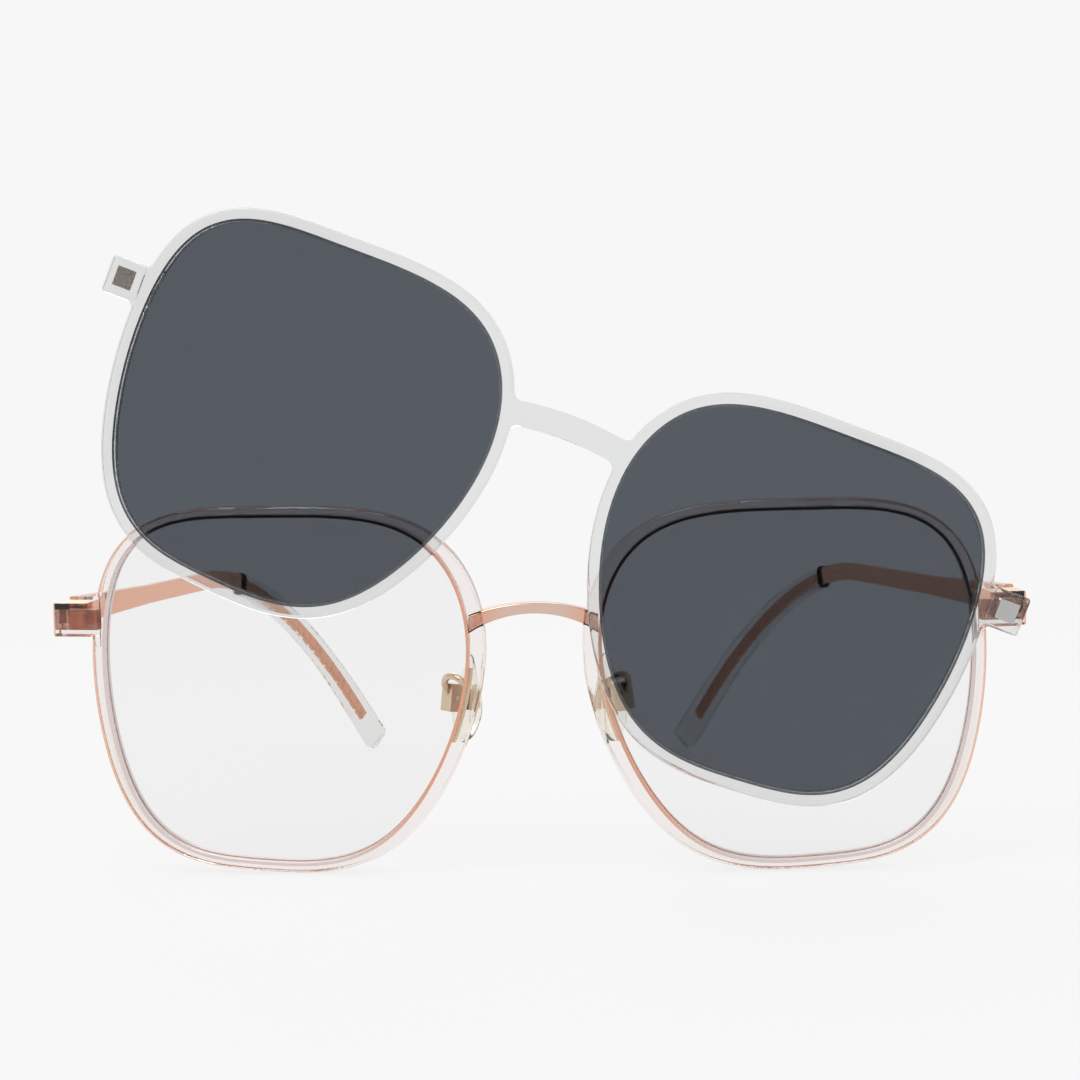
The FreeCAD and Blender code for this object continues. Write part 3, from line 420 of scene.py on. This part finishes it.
class EYEGLASSES_OT_finishes(bpy.types.Operator):
    """Give every hard piece its plated, plastic or lens finish"""
    bl_idname = "eyeglasses.finishes"
    bl_label = "Finishes"

    def execute(self, context):
        colors = context.scene.eyeglasses_finish
        marks = marks_group()
        walls = wall_group()
        self.metals(colors, marks, walls)
        self.plastics(colors, marks, walls)
        return {"FINISHED"}

    def metals(self, colors, marks, walls):
        rose = plated_metal("rose_gold_plating", colors.rose_gold, marks)
        eyewire = plated_metal("eyewire_plating", colors.rose_gold, marks, 0.3, metallic=0.6)
        bridge = plated_metal("bridge_plating", colors.rose_gold, marks, 0.1)
        brown = plated_metal("copper_brown_plating", colors.copper_brown, marks, 0.1)
        pale = plated_metal("pale_gold_plating", colors.pale_gold, marks, 0.2)
        satin = plated_metal("satin_nickel", SATIN_NICKEL, marks, 0.35)
        light = plated_metal("light_nickel", LIGHT_NICKEL, marks, 0.5, metallic=0.25)
        finish_nodes(rose, both("temple_arm"))
        finish_nodes(painted_inner_reflection(eyewire, walls), both("eyewire"))
        finish_nodes(painted_bridge_highlight(bridge), ["bridge"])
        finish_nodes(streaks_and_highlight(brown), both("endpiece"))
        finish_nodes(pale, both("pad_arm") + both("pad_box") + both("pad_core"))
        finish_nodes(satin, both("frame_magnet") + both("hinge_screw") + both("pad_screw"))
        finish_nodes(satin, ["clip_magnet_left"])
        finish_nodes(light, ["clip_magnet_right"])

    def plastics(self, colors, marks, walls):
        rim = clear_plastic("clear_rim_plastic", colors.clear_rim, marks)
        clip = clear_plastic("clear_clip_plastic", colors.clear_clip, marks)
        sleeve = clear_plastic("clear_sleeve_plastic", colors.sleeve, marks, 0.06, ior=1.18)
        display = clear_plastic("display_lens", DISPLAY_LENS, marks, 0.0, ior=1.2)
        dark = clear_plastic("dark_sun_lens", colors.dark_lens, marks, 0.0, ior=1.12)
        finish_nodes(coat_outer_wall(rim, walls), both("rim"))
        finish_nodes(clip, ["clip_frame"])
        finish_nodes(sleeve, both("temple_sleeve"))
        finish_nodes(display, both("demo_lens"))
        finish_nodes(dark, ["clip_lens_left", "clip_lens_right"])


class EYEGLASSES_OT_nose_pads(bpy.types.Operator):
    """Make the two soft, crowned, drop-shaped nose pads round their metal studs"""
    bl_idname = "eyeglasses.nose_pads"
    bl_label = "Nose pads"

    def execute(self, context):
        color = context.scene.eyeglasses_finish.pad
        marks = bpy.data.node_groups.get("handling_marks") or marks_group()
        silicone = clear_plastic("pad_silicone", color, marks, 0.1, ior=1.41)
        for side, sign in (("left", -1), ("right", 1)):
            pad = self.pad(f"{side}_soft_pad", sign)
            pad.data.materials.append(silicone)
            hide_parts(f"{side}_nose_pad")
            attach(pad, f"{side}_pad")
        return {"FINISHED"}

    def pad(self, name, sign):
        bpy.ops.object.select_all(action="DESELECT")
        bpy.ops.mesh.primitive_uv_sphere_add(segments=48, ring_count=32, radius=1.0)
        pad = bpy.context.object
        pad.name = name
        bpy.ops.object.mode_set(mode="EDIT")
        bpy.ops.mesh.select_all(action="SELECT")
        bpy.ops.transform.resize(value=PAD_HALF)
        bpy.ops.mesh.select_all(action="DESELECT")
        bpy.ops.object.mode_set(mode="OBJECT")
        for vertex in pad.data.vertices:
            vertex.select = vertex.co.z > PAD_TIP
        bpy.ops.object.mode_set(mode="EDIT")
        bpy.ops.transform.resize(
            value=(PAD_TAPER, 1.0, 1.0), use_proportional_edit=True,
            proportional_edit_falloff="SMOOTH", proportional_size=PAD_TAPER_REACH)
        bpy.ops.object.mode_set(mode="OBJECT")
        bpy.ops.object.shade_smooth()
        turn = math.radians(PAD_TURN)
        out = Vector((-sign * math.cos(turn), math.sin(turn), 0))
        across = out.cross(Vector((0, 0, 1)))
        upright = Matrix((across, out, (0, 0, 1))).transposed().to_4x4()
        lean = Matrix.Rotation(math.radians(-PAD_LEAN), 4, "X")
        tilt = Matrix.Rotation(math.radians(FRONT_TILT), 4, "X")
        middle = Matrix.Translation((sign * PAD_MIDDLE[0], PAD_MIDDLE[1], PAD_MIDDLE[2]))
        proud = Matrix.Translation((0, PAD_OUT, 0))
        pad.matrix_world = middle @ tilt @ upright @ lean @ proud
        bpy.ops.object.transform_apply(location=True, rotation=True, scale=True)
        return pad


class EYEGLASSES_OT_stage(bpy.types.Operator):
    """Set up the camera, the pale floor, the lamps and the background"""
    bl_idname = "eyeglasses.stage"
    bl_label = "Stage"

    def execute(self, context):
        settings = context.scene.eyeglasses_stage
        self.camera(context)
        self.floor(settings)
        self.lamps(context, settings)
        self.world(context, settings)
        context.scene.view_settings.view_transform = "Standard"
        return {"FINISHED"}

    def camera(self, context):
        data = bpy.data.cameras.new("camera")
        data.sensor_width = SENSOR_WIDTH
        data.sensor_fit = "HORIZONTAL"
        data.lens = CAMERA_FOCAL_PX / PHOTO_PX * SENSOR_WIDTH
        data.clip_start = CAMERA_NEAREST
        camera = bpy.data.objects.new("camera", data)
        camera.location = CAMERA_PLACE
        camera.rotation_euler = Euler([math.radians(turn) for turn in CAMERA_TURN], "XYZ")
        context.scene.collection.objects.link(camera)
        context.scene.camera = camera

    def floor(self, settings):
        bpy.ops.object.select_all(action="DESELECT")
        bpy.ops.mesh.primitive_plane_add(size=settings.floor_size, location=(0, 0, 0))
        floor = bpy.context.object
        floor.name = "floor"
        material = new_material("pale_floor")
        tree = material.node_tree
        lit = add_node(tree, "ShaderNodeBsdfPrincipled", 0, 0)
        lit.inputs["Base Color"].default_value = grey(FLOOR_GREY)
        lit.inputs["Roughness"].default_value = 0.6
        lit.inputs["Specular IOR Level"].default_value = 0.1
        glow = add_node(tree, "ShaderNodeEmission", 0, -400)
        glow.inputs["Color"].default_value = grey(settings.background)
        share = self.seen_share(tree)
        surface(material, blend_shaders(tree, 600, 0, share, lit.outputs[0], glow.outputs[0]))
        floor.data.materials.append(material)

    def seen_share(self, tree):
        """Share of even background colour: only for rays that look at it, full far from the
        object, and less near it, where the shadow shows."""
        place = add_node(tree, "ShaderNodeTexCoord", -600, 100).outputs["Object"]
        away = vector_maths(tree, -400, 100, "LENGTH", place)["Value"]
        fade = rise(tree, -200, 100, away, SHADOW_FULL, SHADOW_END, low=SHADOW_GLOW)
        path = add_node(tree, "ShaderNodeLightPath", -400, 400).outputs
        direct = maths(tree, -200, 400, "MAXIMUM", path["Is Camera Ray"], path["Is Glossy Ray"])
        looking = maths(tree, 0, 400, "MAXIMUM", direct, path["Is Transmission Ray"])
        return maths(tree, 200, 400, "MULTIPLY", looking, fade)

    def lamps(self, context, settings):
        for name, power, side, place in LAMPS:
            data = bpy.data.lights.new(name, "AREA")
            data.energy = getattr(settings, power)
            data.size = side
            lamp = bpy.data.objects.new(name, data)
            lamp.location = place
            aim = Vector(LAMP_AIM) - Vector(place)
            lamp.rotation_euler = aim.to_track_quat("-Z", "Y").to_euler()
            context.scene.collection.objects.link(lamp)

    def world(self, context, settings):
        """Even pale light all round; rays that have bounced off a surface also find a darker band
        to the front left and front right."""
        world = bpy.data.worlds.new("studio")
        world.use_nodes = True
        tree = world.node_tree
        tree.nodes.clear()
        look = add_node(tree, "ShaderNodeTexCoord", -900, 0).outputs["Generated"]
        way = split(tree, -700, 0, look)
        aside = maths(tree, -500, -200, "ABSOLUTE", way["X"])
        steep = maths(tree, -500, -400, "ABSOLUTE", way["Z"])
        ahead = rise(tree, -300, 0, way["Y"], -0.25, -0.70, curve="LINEAR")
        beside = rise(tree, -300, -200, aside, 0.14, 0.26, curve="LINEAR")
        level = rise(tree, -300, -400, steep, 0.55, 0.32, curve="LINEAR")
        front = maths(tree, -50, -200, "MULTIPLY", ahead, beside)
        band = maths(tree, -50, -400, "MULTIPLY", front, level)
        path = add_node(tree, "ShaderNodeLightPath", -500, 400).outputs
        mirrored = maths(tree, -300, 500, "GREATER_THAN", path["Glossy Depth"], 0.5)
        scattered = maths(tree, -300, 300, "GREATER_THAN", path["Diffuse Depth"], 0.5)
        bounced = maths(tree, -100, 400, "MAXIMUM", mirrored, scattered)
        share = maths(tree, 100, 300, "MULTIPLY", bounced, band)
        color = blend_colors(tree, 250, 0, share, grey(settings.background), BAND_SHADE)
        back = add_node(tree, "ShaderNodeBackground", 500, 0)
        out = add_node(tree, "ShaderNodeOutputWorld", 700, 0)
        give(tree, back.inputs["Color"], color)
        give(tree, out.inputs["Surface"], back.outputs[0])
        context.scene.world = world


class EYEGLASSES_PT_panel(bpy.types.Panel):
    """Lists the steps and settings of the eyeglasses"""
    bl_idname = "EYEGLASSES_PT_panel"
    bl_label = "Eyeglasses"
    bl_space_type = "VIEW_3D"
    bl_region_type = "UI"
    bl_category = "Eyeglasses"

    def draw(self, context):
        layout = self.layout
        for step in STEPS:
            layout.operator(step.bl_idname)
        for settings in (context.scene.eyeglasses_finish, context.scene.eyeglasses_stage):
            for name in settings.__annotations__:
                layout.prop(settings, name)


STEPS = (EYEGLASSES_OT_finishes, EYEGLASSES_OT_nose_pads, EYEGLASSES_OT_stage)
CLASSES = (FinishSettings, StageSettings) + STEPS + (EYEGLASSES_PT_panel,)


def register():
    for cls in CLASSES:
        bpy.utils.register_class(cls)
    bpy.types.Scene.eyeglasses_finish = bpy.props.PointerProperty(type=FinishSettings)
    bpy.types.Scene.eyeglasses_stage = bpy.props.PointerProperty(type=StageSettings)


def unregister():
    del bpy.types.Scene.eyeglasses_stage
    del bpy.types.Scene.eyeglasses_finish
    for cls in reversed(CLASSES):
        bpy.utils.unregister_class(cls)


def main():
    register()
    bpy.ops.eyeglasses.stage()
    bpy.ops.eyeglasses.finishes()
    bpy.ops.eyeglasses.nose_pads()


if __name__ == "__main__":
    main()
